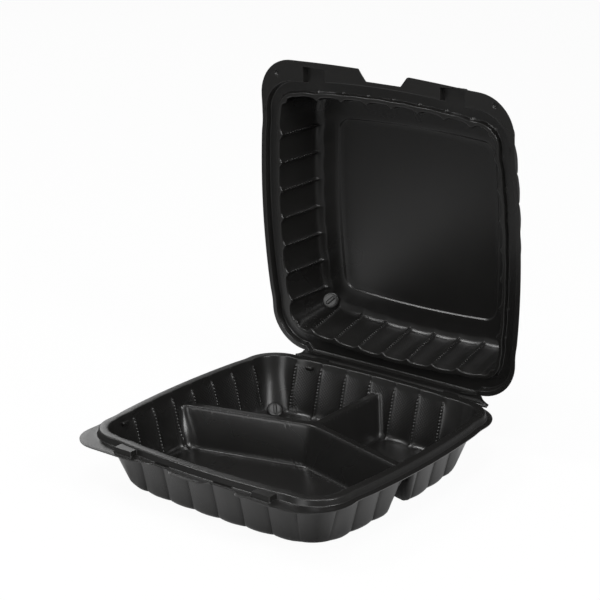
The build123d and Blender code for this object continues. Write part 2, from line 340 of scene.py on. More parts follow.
@dataclass
class SheetMesh:
    """Collects the points, faces and wall places of one formed sheet."""

    points: list[Array] = field(default_factory=list)
    places: list[Array] = field(default_factory=list)
    faces: list[tuple[int, ...]] = field(default_factory=list)
    count: int = 0

    def add_points(self, points: Array, places: Array) -> int:
        """Add points with their wall places.

        Args:
            points: Points in mm.
            places: Place along the wall, up the wall, and the share of hatch.

        Returns:
            Index of the first new point.
        """
        first = self.count
        self.points.append(np.asarray(points, float))
        self.places.append(np.asarray(places, float))
        self.count += len(points)
        return first

    def add_rings(self, rings: list[Array], places: list[Array], up: bool = False) -> list[int]:
        """Add closed rings of points and the quads between neighbours.

        Args:
            rings: Rings of points, all with the same number.
            places: Wall places of each ring.
            up: Whether rings that widen face up rather than down.

        Returns:
            First index of each ring.
        """
        starts = [self.add_points(r, p) for r, p in zip(rings, places)]
        n = len(rings[0])
        for a, b in zip(starts, starts[1:]):
            for i in range(n):
                j = (i + 1) % n
                self.faces.append((a + i, b + i, b + j, a + j) if up else (a + i, a + j, b + j, b + i))
        return starts

    def thicken(self, edge: Sequence[int], depth: float) -> None:
        """Add the other skin of the sheet and close the cut edge.

        Args:
            edge: Ring of point indices along the cut edge.
            depth: Thickness of the sheet in mm.
        """
        top = np.concatenate(self.points)
        normals = np.zeros_like(top)
        for size in (3, 4):
            group = np.array([f for f in self.faces if len(f) == size], int)
            if not len(group):
                continue
            corners = top[group]
            flat = np.cross(corners[:, 2] - corners[:, 0], corners[:, -1] - corners[:, 1])
            if size == 3:
                flat = np.cross(corners[:, 1] - corners[:, 0], corners[:, 2] - corners[:, 0])
            for k in range(size):
                np.add.at(normals, group[:, k], flat)
        normals /= np.maximum(np.linalg.norm(normals, axis=1, keepdims=True), 1e-12)
        shift = self.count
        old_faces = list(self.faces)
        self.add_points(top - normals * depth, np.concatenate(self.places) * np.array([1.0, 1.0, 0.0]))
        self.faces += [tuple(i + shift for i in reversed(f)) for f in old_faces]
        n = len(edge)
        for i in range(n):
            a, b = edge[i], edge[(i + 1) % n]
            self.faces.append((b, a, a + shift, b + shift))

    def cap(self, start: int, count: int, flip: bool = False) -> None:
        """Close a ring of points with one face."""
        ring = range(start, start + count)
        self.faces.append(tuple(reversed(ring) if flip else ring))

    def to_object(self, name: str, move: Move, sharp: float = 50.0) -> Object:
        """Turn the collected sheet into an object.

        Args:
            name: Name of the object.
            move: Takes points in mm to the row frame in mm.
            sharp: Angle in degrees past which an edge is drawn sharp.

        Returns:
            The new object.
        """
        points = move(np.concatenate(self.points)) * MM
        mesh = bpy.data.meshes.new(name)
        mesh.from_pydata(points.tolist(), [], self.faces)
        place = mesh.attributes.new("wall_place", "FLOAT_VECTOR", "POINT")
        place.data.foreach_set("vector", np.concatenate(self.places).astype(np.float32).ravel())
        bm = bmesh.new()
        bm.from_mesh(mesh)
        bmesh.ops.recalc_face_normals(bm, faces=bm.faces)
        bm.to_mesh(mesh)
        bm.free()
        mesh.shade_smooth()
        mesh.set_sharp_from_angle(angle=math.radians(sharp))
        mesh.update()
        return add_object(name, mesh)


@dataclass
class Columns:
    """Upright sections round the rim: where each starts, which way it faces, and its two lines."""

    origin: Array
    normal: Array
    bulged: Array
    rib: Array
    crest: Array
    bowed: Array
    hatch: Array
    ridge: Array
    side: Array
    spot: Array

    @property
    def along(self) -> Array:
        """Place of each section round the whole rim, which the hatch follows."""
        return self.spot + SIDE_STRIDE * np.maximum(self.side, 0.0)

    @property
    def beads(self) -> Array:
        """Share of the row of dots on each section: full on a ridge, none in the corners."""
        return BEADS.at(self.ridge) * (self.side >= 0)

    def on_front(self, half: float) -> Array:
        """Tell which sections lie on the front side within half a width."""
        return (self.side == Side.FRONT.value) & (np.abs(self.spot) < half)

    def wall(self, ease: float, rib: float) -> Array:
        """Reach of the wall with a share of its bulges smoothed away and a share of its ribs."""
        return self.bulged + (self.crest - self.bulged) * ease - self.rib * rib

    def at(self, reach: Array, z: Array | float) -> Array:
        """Points at the given reach of each column and height."""
        plan = self.origin + self.normal * np.asarray(reach)[:, None]
        return np.column_stack([plan, np.broadcast_to(z, len(plan))])


@dataclass
class RingStack:
    """Rings of points that follow one another over the sections, with their wall places."""

    cols: Columns
    rings: list[Array] = field(default_factory=list)
    places: list[Array] = field(default_factory=list)

    def put(self, points: Array, hatch: Array | float = 0.0) -> None:
        """Add a ring of points with its share of hatch."""
        self.rings.append(points)
        share = np.broadcast_to(hatch, len(points))
        self.places.append(np.column_stack([self.cols.along, points[:, 2], share]))

    def at(self, reach: Array, z: float, hatch: Array | float = 0.0) -> None:
        """Add a ring at a reach of each section and a height."""
        self.put(self.cols.at(reach, z), hatch)

    def flat(self, plan: Array, z: float) -> None:
        """Add a level ring over plan points."""
        self.put(np.column_stack([plan, np.full(len(plan), z)]))

    def bend(self, reach: Array, z: float, offsets: Pairs) -> None:
        """Add the rings of a rounded bend round a corner of the section."""
        for out, up in offsets:
            self.at(reach + out, up + z)

    def span(self, inner: Array, outer: Array, shares: Sequence[float], z: float) -> None:
        """Add level rings at shares of the way between two reaches."""
        for share in shares:
            self.at(inner + (outer - inner) * share, z)


@dataclass(frozen=True)
class FlutedRim:
    """Plan of the fluted wall that the tray and the lid share, in mm."""

    ridge_half: float = 97.9
    ridge_reach: float = 67.5
    side_bow: float = 3.6
    flute_count: int = 7
    pitch: float = 22.2
    shifts: Steps = (9.8, 5.6, 7.6, 6.0)
    flute_sag: float = 1.5
    flank_sag: float = 1.2
    ridge_round: float = 0.3
    rib: float = 0.75
    rib_width: float = 1.0
    crest_share: float = 0.9
    crest_from: float = 56.0
    bowed_from: float = 62.0
    fade: Ramp = Ramp(2.6, 8.0)
    fade_side: Ramp = Ramp(62.0, 14.0)
    corner_centre: float = 78.8
    corner_reach: float = 97.8
    corner_bowed: float = 96.8
    corner_grow: float = 0.8
    grow_from: float = 1.5
    grow_run: float = 5.0
    grow_end: float = 17.0
    outermost: float = -5.0
    deepest: float = 40.0
    halvings: int = 26
    corner_steps: int = 16
    corner_ridge: float = 0.33
    close_steps: Steps = (0.5, 1.2, 1.9, 2.5, 3.1, 4.0)
    close_reach: float = 4.5
    panel_steps: Steps = (0.0, 0.35, 0.7, 1.1, 1.7, 2.8, 4.6, 7.6, 11.1)
    flank_steps: Steps = (14.0, 17.0)
    corner_clear: float = 0.4
    extra_clear: float = 0.28

    @property
    def half_run(self) -> float:
        """Distance from the middle ridge of a side to its first and last ones."""
        return (self.flute_count - 1) / 2 * self.pitch

    def sector(self, x: Array, y: Array) -> tuple[Array, Array, Array]:
        """Find the side that plan points face.

        Args:
            x: Places along X.
            y: Places along Y.

        Returns:
            Quarter turns of the side, reach from the middle, and place along the side.
        """
        turn = np.where(np.abs(x) >= np.abs(y), np.where(x >= 0, 0, 2), np.where(y >= 0, 1, 3))
        return turn, np.choose(turn, [x, y, -x, -y]), np.choose(turn, [y, -x, -y, x])

    def _to_corner(self, s: Array, start: float) -> Array:
        """Share of the way from a place on a side to the corner."""
        return smooth_step((np.abs(s) - start) / (self.corner_centre - start))

    def side_line(self, s: Array) -> Array:
        """Distance of the bowed line of the ridges from the middle."""
        return self.ridge_half + self.side_bow * (1.0 - (np.asarray(s) / self.ridge_reach) ** 2)

    def bowed(self, s: Array | float) -> Array:
        """Distance of the smooth bead line, which runs level into the corners."""
        line = self.side_line(s)
        return line + self._to_corner(s, self.bowed_from) * (self.corner_bowed - line)

    def soft(self, d: Array | float) -> Array:
        """Distance from a ridge with the sharp tip rounded."""
        e = self.ridge_round
        return np.sqrt(d * d + e * e) - e

    def local(self, turn: Array, s: Array) -> Array:
        """Place along a side from the middle ridge, in the sense in which its ridges are shifted."""
        turn = np.asarray(turn).astype(int)
        return np.where(turn % 2 == 1, s, -np.asarray(s)) - np.take(self.shifts, turn % 4)

    def from_ridge(self, turn: Array, s: Array) -> Array:
        """Distance along a side from the nearest ridge."""
        half = (self.flute_count - 1) / 2
        u = self.local(turn, s) / self.pitch
        return np.abs(u - np.clip(np.round(u), -half, half)) * self.pitch

    def rib_share(self, turn: Array, s: Array) -> Array:
        """Share of the full height of the rib on the nearest ridge."""
        return np.exp(-((self.from_ridge(turn, s) / self.rib_width) ** 2))

    def bulged(self, turn: Array, s: Array) -> Array:
        """Distance of the wall from the middle, without its ribs.

        Args:
            turn: Quarter turns of the side.
            s: Place along the side.

        Returns:
            The distance at the rim top.
        """
        shift = np.take(self.shifts, np.asarray(turn).astype(int) % 4)
        s = self.local(turn, s) + shift
        first, last = shift - self.half_run, shift + self.half_run
        u = (s - first) / self.pitch
        share = self.soft(np.abs(u - np.round(u)) * self.pitch) / self.soft(self.pitch / 2) * 0.5
        panel = self.side_line(s) + 4 * self.flute_sag * share * (1.0 - share)
        flank = self._flank(first - s, first, self.corner_centre + first, self.flank_sag)
        small = self._flank(s - last, last, self.corner_centre - last, 0.0)
        return np.where(s < first, flank, np.where(s > last, small, panel))

    def _flank(self, away: Array, end: Array, run: Array, sag: float) -> Array:
        """Distance of the wall between an end ridge and the corner.

        Args:
            away: Distance along the side past the ridge.
            end: Place of the ridge.
            run: Distance from the ridge to the corner.
            sag: Bulge of the wall between them.

        Returns:
            The distance at the rim top.
        """
        share = np.clip(self.soft(np.maximum(away, 0.0)) / self.soft(run), 0.0, 1.0)
        base = self.side_line(end)
        return base + (self.corner_reach - base) * share + 4 * sag * share * (1.0 - share)

    def fluted(self, turn: Array, s: Array) -> Array:
        """Distance of the wall from the middle, ribs included."""
        return self.bulged(turn, s) - self.rib * self.rib_share(turn, s)

    def crest(self, turn: Array, s: Array) -> Array:
        """Distance of the smooth line over the bulges of the flutes."""
        line = self.side_line(s) + self.crest_share * self.flute_sag
        ease = self._to_corner(s, self.crest_from)
        return np.maximum(line + ease * (self.corner_reach - line), self.bulged(turn, s))

    def inset(self, x: Array, y: Array) -> Array:
        """How far plan points lie inside the wall's line at the rim top.

        Args:
            x: Places along X.
            y: Places along Y.

        Returns:
            Distance inside, square to the side.
        """
        turn, reach, s = self.sector(x, y)
        flutes = self.fluted(turn, np.clip(s, -self.corner_centre, self.corner_centre)) - self.corner_reach
        deep = self.fade.at(self.corner_reach + flutes - reach)
        flutes = flutes * (1.0 - deep * self.fade_side.at(np.abs(s)))
        low, high = np.full_like(reach, self.outermost), np.full_like(reach, self.deepest)
        for _ in range(self.halvings):
            mid = (low + high) / 2
            radius = self.corner_radius(mid)
            middle = self.corner_reach - mid - radius
            away = np.hypot(np.maximum(reach - flutes - middle, 0.0), np.maximum(np.abs(s) - middle, 0.0))
            inside = away < radius
            low, high = np.where(inside, mid, low), np.where(inside, high, mid)
        return low

    def corner_radius(self, d: Array | float) -> Array | float:
        """Radius of the wall's corner, which widens towards the floor.

        Args:
            d: Distance inside the wall's line at the rim top.

        Returns:
            The radius there.
        """
        growth = 0.0
        for start, way in ((self.grow_from, 1.0), (self.grow_end, -1.0)):
            t = (np.asarray(d) - start) / self.grow_run
            bend = np.clip(t, 0.0, 1.0)
            growth = growth + way * (bend**3 - bend**4 / 2 + np.maximum(t - 1.0, 0.0))
        plain = self.corner_reach - self.corner_centre - d
        return plain + (1.0 + self.corner_grow) * self.grow_run * growth

    def columns(self, extra: dict[Side, Sequence[float]], turns: dict[Side, float] | None = None) -> Columns:
        """Lay out the upright sections round the rim.

        Args:
            extra: More places along a side that need a section.
            turns: Angle in the corner after a side round which sections lie closer together.

        Returns:
            The sections in order round the rim.
        """
        c = self.corner_centre
        blocks = []
        for side in Side:
            turn = side.value
            angle = math.radians(90 * turn)
            n = np.array([math.cos(angle), math.sin(angle)])
            t = np.array([-math.sin(angle), math.cos(angle)])
            s = np.array(self._spots(turn, extra.get(side, ())))
            away = self.from_ridge(turn, s)
            between = np.abs(self.local(turn, s)) < self.half_run
            rib = self.rib * self.rib_share(turn, s)
            lines = self.bulged(turn, s), rib, self.crest(turn, s), self.bowed(s)
            marks = HATCH.at(away) * between, away, np.full(len(s), turn), s
            blocks.append(np.column_stack([np.outer(s, t), np.tile(n, (len(s), 1)), *lines, *marks]))
            angles = {90.0 * k / self.corner_steps for k in range(self.corner_steps)}
            if turns and side in turns:
                angles = {a for a in angles if abs(a - turns[side]) > self.close_reach}
                angles |= {turns[side] + way * d for d in self.close_steps for way in (-1.0, 1.0)}
            degrees = sorted(angles)
            m = np.array([n * math.cos(p) + t * math.sin(p) for p in map(math.radians, degrees)])
            plain = np.tile((self.corner_reach, 0.0, self.corner_reach, self.corner_bowed, 0.0), (len(m), 1))
            ridge = np.abs(np.array(degrees) - 45.0) * self.corner_ridge
            ends = np.tile((-1.0, c), (len(m), 1))
            blocks.append(np.column_stack([(n + t) * c - m * c, m, plain, ridge, ends]))
        table = np.concatenate(blocks)
        return Columns(table[:, 0:2], table[:, 2:4], *np.ascontiguousarray(table[:, 4:].T))

    def _spots(self, turn: int, extra: Sequence[float]) -> list[float]:
        """Places of the sections along one side, closer together near the ridges.

        Args:
            turn: Quarter turns of the side.
            extra: Places that have to be among them.

        Returns:
            The places in order, without the last corner.
        """
        ridges = [self.shifts[turn] - self.half_run + k * self.pitch for k in range(self.flute_count)]
        places = {round(r + way * d, 4) for r in ridges for d in self.panel_steps for way in (-1.0, 1.0)}
        places |= {round(ridges[0] - d, 4) for d in self.flank_steps}
        limit = self.corner_centre - self.corner_clear
        places = {p if turn % 2 else -p for p in places if abs(p) < limit}
        ridge_set = {r if turn % 2 else -r for r in ridges}
        clear = self.extra_clear
        kept = [p for p in places if p in ridge_set or all(abs(p - e) > clear for e in extra)]
        return sorted([-self.corner_centre] + kept + list(extra))


@dataclass
class Flange:
    """Flat edge of a half: finds where it is cut off along each section."""

    bowed_out: float
    back: float
    front: float
    plates: list[Pairs]
    cuts: list[Pairs] = field(default_factory=list)
    stride: float = 0.2
    strides: int = 140
    halvings: int = 9

    def holds(self, x: Array, y: Array, line: Sequence[Sequence[float]]) -> Array:
        """Tell which plan points lie on the flange.

        Args:
            x: Places along X.
            y: Places along Y.
            line: Outline of the plain bowed flange.

        Returns:
            True for each point on it.
        """
        on = in_polygon(x, y, line) & (y <= self.back) & (y >= -self.front)
        for points in self.plates:
            on |= in_polygon(x, y, points)
        for points in self.cuts:
            on &= ~in_polygon(x, y, points)
        return on

    def edge(self, cols: Columns, start: float) -> Array:
        """Reach of the cut edge along each section.

        Args:
            cols: The sections.
            start: Distance from the bowed line at which the flange surely exists.

        Returns:
            Reach of the edge.
        """
        line = cols.at(cols.bowed + self.bowed_out, 0.0)[:, :2].tolist()

        def on(reach: Array) -> Array:
            """Tell which sections are on the flange at a reach."""
            plan = cols.origin + cols.normal * reach[:, None]
            return self.holds(plan[:, 0], plan[:, 1], line)

        low = cols.bowed + start
        open_end = np.zeros(len(low), bool)
        high = low.copy()
        for k in range(1, self.strides):
            trial = cols.bowed + start + self.stride * k
            inside = on(trial) & ~open_end
            low = np.where(inside, trial, low)
            high = np.where(~open_end & ~inside, trial, high)
            open_end |= ~inside
        for _ in range(self.halvings):
            mid = (low + high) / 2
            inside = on(mid)
            low = np.where(inside, mid, low)
            high = np.where(inside, high, mid)
        return low


@dataclass(frozen=True)
class FormedBlock:
    """Pair of blocks that grow out of the rim bead at the front: the lugs, or the pockets over them."""

    spot: float
    half: float
    front: float
    wall: float
    steps: Steps
    corner: float = 0.9
    reach: float = 78.0
    least: float = 1.2

    def mark(self, cols: Columns, start: Array, edge: Array, share: float, limit: float) -> Array:
        """Reach at which the rows over a flange lie closest together.

        Args:
            cols: The sections.
            start: Reach at which the flange starts.
            edge: Reach of its cut edge.
            share: Share of the way from start to edge, on the sides without blocks.
            limit: Largest share on the front, where the rows follow the faces of the blocks.

        Returns:
            The reach on each section.
        """
        width = edge - start
        face = np.minimum(np.maximum(self.front, start + self.least), start + width * limit)
        return np.where(cols.on_front(self.reach), face, start + width * share)

    def places(self) -> list[float]:
        """Places along the side that need a section, at the walls of the blocks."""
        ends = [(middle, d) for middle in (-self.spot, self.spot) for d in self.steps]
        return [p for middle, d in ends for p in (middle - self.half + d, middle + self.half - d)]

    def share(self, x: Array, y: Array) -> Array:
        """Share of full height at plan points.

        Args:
            x: Places along X.
            y: Places along Y.

        Returns:
            0 outside and 1 on the top of a block.
        """
        dx = np.abs(np.abs(x) - self.spot) - (self.half - self.corner)
        dy = -y - (self.front - self.corner)
        corner = np.hypot(np.maximum(dx, 0.0), np.maximum(dy, 0.0))
        return smooth_step(-(corner + np.minimum(np.maximum(dx, dy), 0.0) - self.corner) / self.wall)


@dataclass
class SpacedPoints:
    """Plan points sorted into small squares, so that none is kept very close to another."""

    square: float = 0.5
    least: float = 0.05
    cells: dict[tuple[int, int], Pairs] = field(default_factory=dict)

    def _cell(self, p: Array) -> tuple[int, int]:
        """Square that a plan point lies in."""
        return int(p[0] // self.square), int(p[1] // self.square)

    def keep(self, p: Array) -> None:
        """Keep a plan point."""
        self.cells.setdefault(self._cell(p), []).append((p[0], p[1]))

    def claim(self, p: Array) -> bool:
        """Keep a plan point unless another lies very close.

        Args:
            p: The point.

        Returns:
            True if it was kept.
        """
        i, j = self._cell(p)
        around = [(a, b) for a in (i - 1, i, i + 1) for b in (j - 1, j, j + 1)]
        near = (q for cell in around for q in self.cells.get(cell, ()))
        if any((q[0] - p[0]) ** 2 + (q[1] - p[1]) ** 2 < self.least for q in near):
            return False
        self.keep(p)
        return True


@dataclass
class Tray:
    """Lower half: fluted wall, three compartments, rim bead, flange, lugs and lift tab."""

    rim: FlutedRim
    finish: FormedSheet
    depth: float = 42.0
    wall_slope: float = 3.936
    well_slope: float = 3.9
    join_depth: float = 10.0
    join_clear: float = 0.15
    wall_rows: Steps = (-7.6, -5.9, -5.2, -4.9, -4.6, -4.3, -4.0, -3.7, -3.2, -2.2)
    ease: Ramp = Ramp(-9.0, 5.0)
    rib_end: Ramp = Ramp(-3.6, -1.3)
    rim_width: float = 7.6
    rim_height: float = 4.7
    rim_flare: float = 1.0
    rim_round: float = 0.95
    rim_nib: float = 0.45
    crown: float = 0.06
    bead_round: float = 1.3
    toe_round: float = 0.8
    lug_from: float = 4.0
    cut_below: float = -2.0
    flange_rows: Steps = (-1.4, -0.9, -0.6, -0.35, -0.1, 0.2)
    flange_droop: float = 0.22
    lug: FormedBlock = FormedBlock(59.6, 8.25, 113.8, 0.9, (-0.2, 0.1, 0.35, 0.6, 0.9, 1.4))
    lug_height: float = 3.8
    mark_shares: Steps = (0.62, 0.8)
    mark_before: float = 2.0
    ridge_ease: float = 0.8
    hatch: float = 0.5
    hatch_top: Ramp = Ramp(-4.0, -3.0)
    hatch_foot: Ramp = Ramp(-37.0, 3.0)
    hatch_half: float = 82.0
    hatch_skin: float = 1.5
    beading: float = 0.9
    dots_top: float = -4.5
    divider_drop: float = 12.0
    divider_front: float = 20.6
    divider_rear: float = 27.2
    divider_slope: float = 0.26
    divider_bend: float = 3.0
    rear_steep: float = 2.2
    stem_half: float = 3.2
    stem_blend: float = 8.0
    near_stem: Ramp = Ramp(60.0, -20.0)
    front_meet: float = 4.5
    front_widen: float = 7.0
    rear_meet: float = 5.0
    rear_widen: float = 1.5
    deep: Ramp = Ramp(0.5, 7.0)
    on_top: Ramp = Ramp(1.0, -2.0)
    top_round: float = 1.5
    top_blend: float = 1.6
    foot_round: float = 5.5
    foot_run: float = 8.0
    foot_shift: float = 0.6
    divider_foot: float = 2.4
    well_rows: Steps = (2.8, 3.05, 3.3, 3.7, 4.5, 5.5, 6.6, 7.8, 9.0)
    foot_rows: Steps = (9.75, 10.2, 10.7, 11.3, 12.0, 12.8, 13.7, 14.7, 15.8)
    edge_rows: Steps = (-3.0, -2.2, -1.6, -1.25, -0.95, -0.65, -0.35, -0.05, 0.25, 0.7, 1.6)
    face_rows: Steps = (3.0, 4.6, 6.0, 6.7, 7.2, 7.8, 8.5, 9.3, 10.2, 11.1, 11.8, 13.0)
    face_half: float = 98.0
    face_pitch: float = 1.75
    stem_from: float = 24.0
    stem_to: float = 101.0
    grid_half: float = 88.0
    grid_pitch: float = 4.0

    def flange(self) -> Flange:
        """Outline of the tray's flange.

        Returns:
            The flange with its tab, tongue and plates.
        """
        tab = arc_through((-109.6, -94.0), (-102.86, -110.26), (-86.6, -117.0), 14)
        left = [(-33.0, -112.3), (-33.0, -100.0), (-100.0, -70.0), (-109.6, -70.0), *tab, (-50.0, -117.0)]
        bend = arc_through((78.0, -117.0), (100.6, -106.4), (109.6, -77.0), 14)
        right = [(38.0, -112.3), (41.0, -117.0), *bend, (100.0, -77.0), (38.0, -100.0)]
        tip = [(-20.5, -112.3), (-14.5, -117.5), (10.0, -117.5), (18.0, -112.3)]
        return Flange(12.8, 112.5, 112.3, [left, right, [*tip, (18.0, -100.0), (-20.5, -100.0)]])

    def columns(self) -> Columns:
        """Sections of the tray, with more at the lugs and the flange's corners."""
        corners = [-50.0, -33.0, -20.5, -17.5, -14.5, 10.0, 14.0, 18.0, 38.0, 41.0]
        return self.rim.columns({Side.FRONT: sorted(corners + self.lug.places())})

    def _bend(self, x: Array) -> Array:
        """How far the divider's line has moved to the front at a place along X."""
        return self.divider_slope * (np.sqrt(x * x + self.divider_bend**2) - self.divider_bend)

    def height(self, x: Array, y: Array) -> Array:
        """Height of the tray's inside under the rim top.

        Args:
            x: Places along X.
            y: Places along Y.

        Returns:
            Heights in mm, 0 at the rim top.
        """
        a = self.rim.inset(x, y) - self.divider_drop / self.wall_slope
        lean = math.hypot(1.0, self.divider_slope)
        front = (self.divider_front - self._bend(x) - y) / lean
        rear = (y - self.divider_rear + self._bend(x)) / lean
        in_front = front > rear
        rear = np.where(rear > 0, rear * self.rear_steep, rear)
        back = soft_min(rear, np.abs(x) - self.stem_half, self.stem_blend)
        b = np.where(in_front, front, back)
        near_stem = self.near_stem.at(np.abs(x))
        deep = self.deep.at(soft_min(a, b, self.front_meet))
        front_meet = self.front_meet + self.front_widen * deep
        rear_meet = self.rear_meet + self.rear_widen * deep - self.rear_widen * near_stem
        d = soft_min(a, b, np.where(in_front, front_meet, rear_meet))
        by_wall = smooth_step((b - a) / self.foot_run + self.foot_shift)
        top = self._profile(d, self.divider_foot + (self.foot_round - self.divider_foot) * by_wall)
        wall = -self.divider_drop - self.wall_slope * a
        on_top = self.on_top.at(b)
        blend = self.top_blend * on_top + 1e-6
        h = np.clip(1.0 - np.abs(wall - top) / blend, 0.0, 1.0)
        return np.maximum(wall, top) + h * h * blend * 0.25 * on_top

    def _profile(self, d: Array, foot: Array) -> Array:
        """Section of a compartment wall.

        Args:
            d: Distance inside the top edge.
            foot: Radius of the foot.

        Returns:
            Heights over the rounded top, straight slope, rounded foot and floor.
        """
        slope = self.well_slope
        theta = math.atan(slope)
        t = self.top_round * math.tan(theta / 2)
        z_top = -self.divider_drop
        run = (self.depth - self.divider_drop) / slope
        f = foot * math.tan(theta / 2)
        arc_top = z_top - self.top_round + np.sqrt(np.maximum(self.top_round**2 - (d + t) ** 2, 0.0))
        arc_foot = -self.depth + foot - np.sqrt(np.maximum(foot**2 - (d - run - f) ** 2, 0.0))
        z = z_top - slope * d
        z = np.where(d < t * math.cos(theta), arc_top, z)
        z = np.where(d < -t, z_top, z)
        z = np.where(d > run - f * math.cos(theta), arc_foot, z)
        return np.where(d > run + f, -self.depth, z)

    def build(self) -> Object:
        """Build the tray's sheet.

        Returns:
            The tray as one object.
        """
        cols = self.columns()
        mesh = SheetMesh()
        starts = self._rim_rings(cols, mesh)
        self._inside(cols, mesh, starts[0])
        last = starts[-1]
        mesh.thicken(range(last, last + len(cols.spot)), SHEET)
        return mesh.to_object("tray_sheet", to_row)

    def _rim_rings(self, cols: Columns, mesh: SheetMesh) -> list[int]:
        """Rings from the upper wall over the bead to the cut edge of the flange.

        Args:
            cols: Sections of the tray.
            mesh: Sheet that takes the rings.

        Returns:
            First index of each ring.
        """
        k = self.wall_slope
        rows: list[tuple[Array, float]] = []
        for z in (-self.join_depth, *self.wall_rows):
            ease = self.ridge_ease * self.ease.at(z)
            rows.append((cols.wall(ease, self.rib_end.at(z)) + z / k, z))
        nibbed = cols.wall(self.ridge_ease, self.rim_nib)
        rows += [(nibbed + out, up) for out, up in fillet((1.0, k), OUTWARD, self.rim_round, 5)]
        bead_top = cols.bowed + self.rim_width
        down = (self.rim_flare, -self.rim_height)
        over = fillet(OUTWARD, down, self.bead_round, 6)
        inner, outer = rows[-1][0], bead_top + over[0][0]
        for share in (0.25, 0.5, 0.75):
            rows.append((inner + (outer - inner) * share, self.crown * math.sin(math.pi * share)))
        rows += [(bead_top + out, up) for out, up in over]
        foot = bead_top + self.rim_flare
        toe = fillet(down, OUTWARD, self.toe_round, 4)
        rows += [(foot + out, up - self.rim_height) for out, up in toe]
        edge = self.flange().edge(cols, self.rim_width + self.rim_flare)
        rows += self._flange_rows(cols, rows[-1][0], edge)
        stack = RingStack(cols)
        for reach, z in rows:
            on_flange = z < self.cut_below and reach[0] > cols.bowed[0]
            hatch = self.hatch * cols.hatch * self.hatch_top.at(z)
            beads = -self.beading * cols.beads * (z < self.dots_top)
            on_wall = reach[0] < cols.bulged[0]
            stack.at(np.minimum(reach, edge) if on_flange else reach, z, (hatch + beads) * on_wall)
        for ring, (reach, _) in zip(stack.rings, rows):
            share = self.lug.share(ring[:, 0], ring[:, 1])
            top = np.maximum(ring[:, 2], -self.rim_height + self.lug_height * share)
            ring[:, 2] = np.where((share > 0) & (reach > cols.bowed + self.lug_from), top, ring[:, 2])
        return mesh.add_rings(stack.rings, stack.places, up=True)

    def _flange_rows(self, cols: Columns, start: Array, edge: Array) -> list[tuple[Array, float]]:
        """Rows over the flange, closer together at the front faces of the lugs.

        Args:
            cols: Sections of the tray.
            start: Reach at which the flange starts.
            edge: Reach of its cut edge.

        Returns:
            Reach and height of each row.
        """
        level = -self.rim_height
        mark = self.lug.mark(cols, start, edge, *self.mark_shares)
        rows = [(start + (mark - self.mark_before - start) * share, level) for share in (0.35, 0.62)]
        rows += [(np.maximum(mark + d, start), level) for d in self.flange_rows]
        last = self.flange_rows[-1]
        for share in (0.3, 0.65, 0.9, 1.0):
            droop = -self.flange_droop * share**2
            rows.append((mark + last + (edge - mark - last) * share, droop - self.rim_height))
        return rows

    def _inside(self, cols: Columns, mesh: SheetMesh, first: int) -> None:
        """Fill the wells inside the upper wall with one smooth skin.

        Args:
            cols: Sections of the tray.
            mesh: Sheet that takes the skin.
            first: Index of the ring that the skin joins.
        """
        join = self.join_depth / self.wall_slope
        n = len(cols.spot)
        border = cols.at(cols.wall(0.0, 1.0) - join, 0.0)[:, :2]
        groups = []
        for inset in self.well_rows + self.foot_rows:
            plain = cols.at(cols.wall(0.0, 1.0) - inset, 0.0)[:, :2]
            radius = self.rim.corner_radius(inset)
            ways = cols.origin / self.rim.corner_centre + cols.normal
            round_corner = ways * (self.rim.corner_reach - inset - radius) + cols.normal * radius
            groups.append(np.where((cols.side < 0)[:, None], round_corner, plain))
        groups.append(self._divider_points())
        grid = np.arange(-self.grid_half, self.grid_half + 0.1, self.grid_pitch)
        gx, gy = np.meshgrid(grid, grid)
        groups.append(np.column_stack([gx.ravel(), gy.ravel()]))
        chosen = [border]
        spaced = SpacedPoints()
        for p in border:
            spaced.keep(p)
        for points in groups:
            deep = self.rim.inset(points[:, 0], points[:, 1]) > join + self.join_clear
            free = [p for p in points[deep] if spaced.claim(p)]
            if free:
                chosen.append(np.array(free))
        plan = np.concatenate(chosen)
        ring = [(i, (i + 1) % n) for i in range(n)]
        out = delaunay_2d_cdt([Vector(p) for p in plan.tolist()], ring, [list(range(n))], 1, 1e-7)
        spots = np.array([list(v) for v in out[0]])
        z = self.height(spots[:, 0], spots[:, 1])
        index = np.full(len(spots), -1)
        for i, source in enumerate(out[3]):
            low = [k for k in source if k < n]
            if low:
                index[i] = first + low[0]
        fresh = np.where(index < 0)[0]
        hatch = self._hatch(spots[fresh], z[fresh])
        start = mesh.add_points(np.column_stack([spots[fresh], z[fresh]]), hatch)
        index[fresh] = start + np.arange(len(fresh))
        mesh.faces += [tuple(int(index[i]) for i in face) for face in out[2]]

    def _hatch(self, plan: Array, z: Array) -> Array:
        """Wall places of points inside the tray.

        Args:
            plan: Plan points.
            z: Their heights.

        Returns:
            Place along the wall, up the wall, and the share of hatch.
        """
        x, y = plan[:, 0], plan[:, 1]
        turn, _, s = self.rim.sector(x, y)
        d = self.rim.from_ridge(turn, s)
        between = np.abs(self.rim.local(turn, s)) < self.rim.half_run
        share = self.hatch * HATCH.at(d) * between - self.beading * BEADS.at(d)
        off_wall = np.abs(z + self.wall_slope * self.rim.inset(x, y))
        on_wall = smooth_step(1.0 - off_wall / self.hatch_skin)
        share = share * on_wall * self.hatch_foot.at(z) * (np.abs(s) < self.hatch_half)
        return np.column_stack([s + turn * SIDE_STRIDE, z, share])

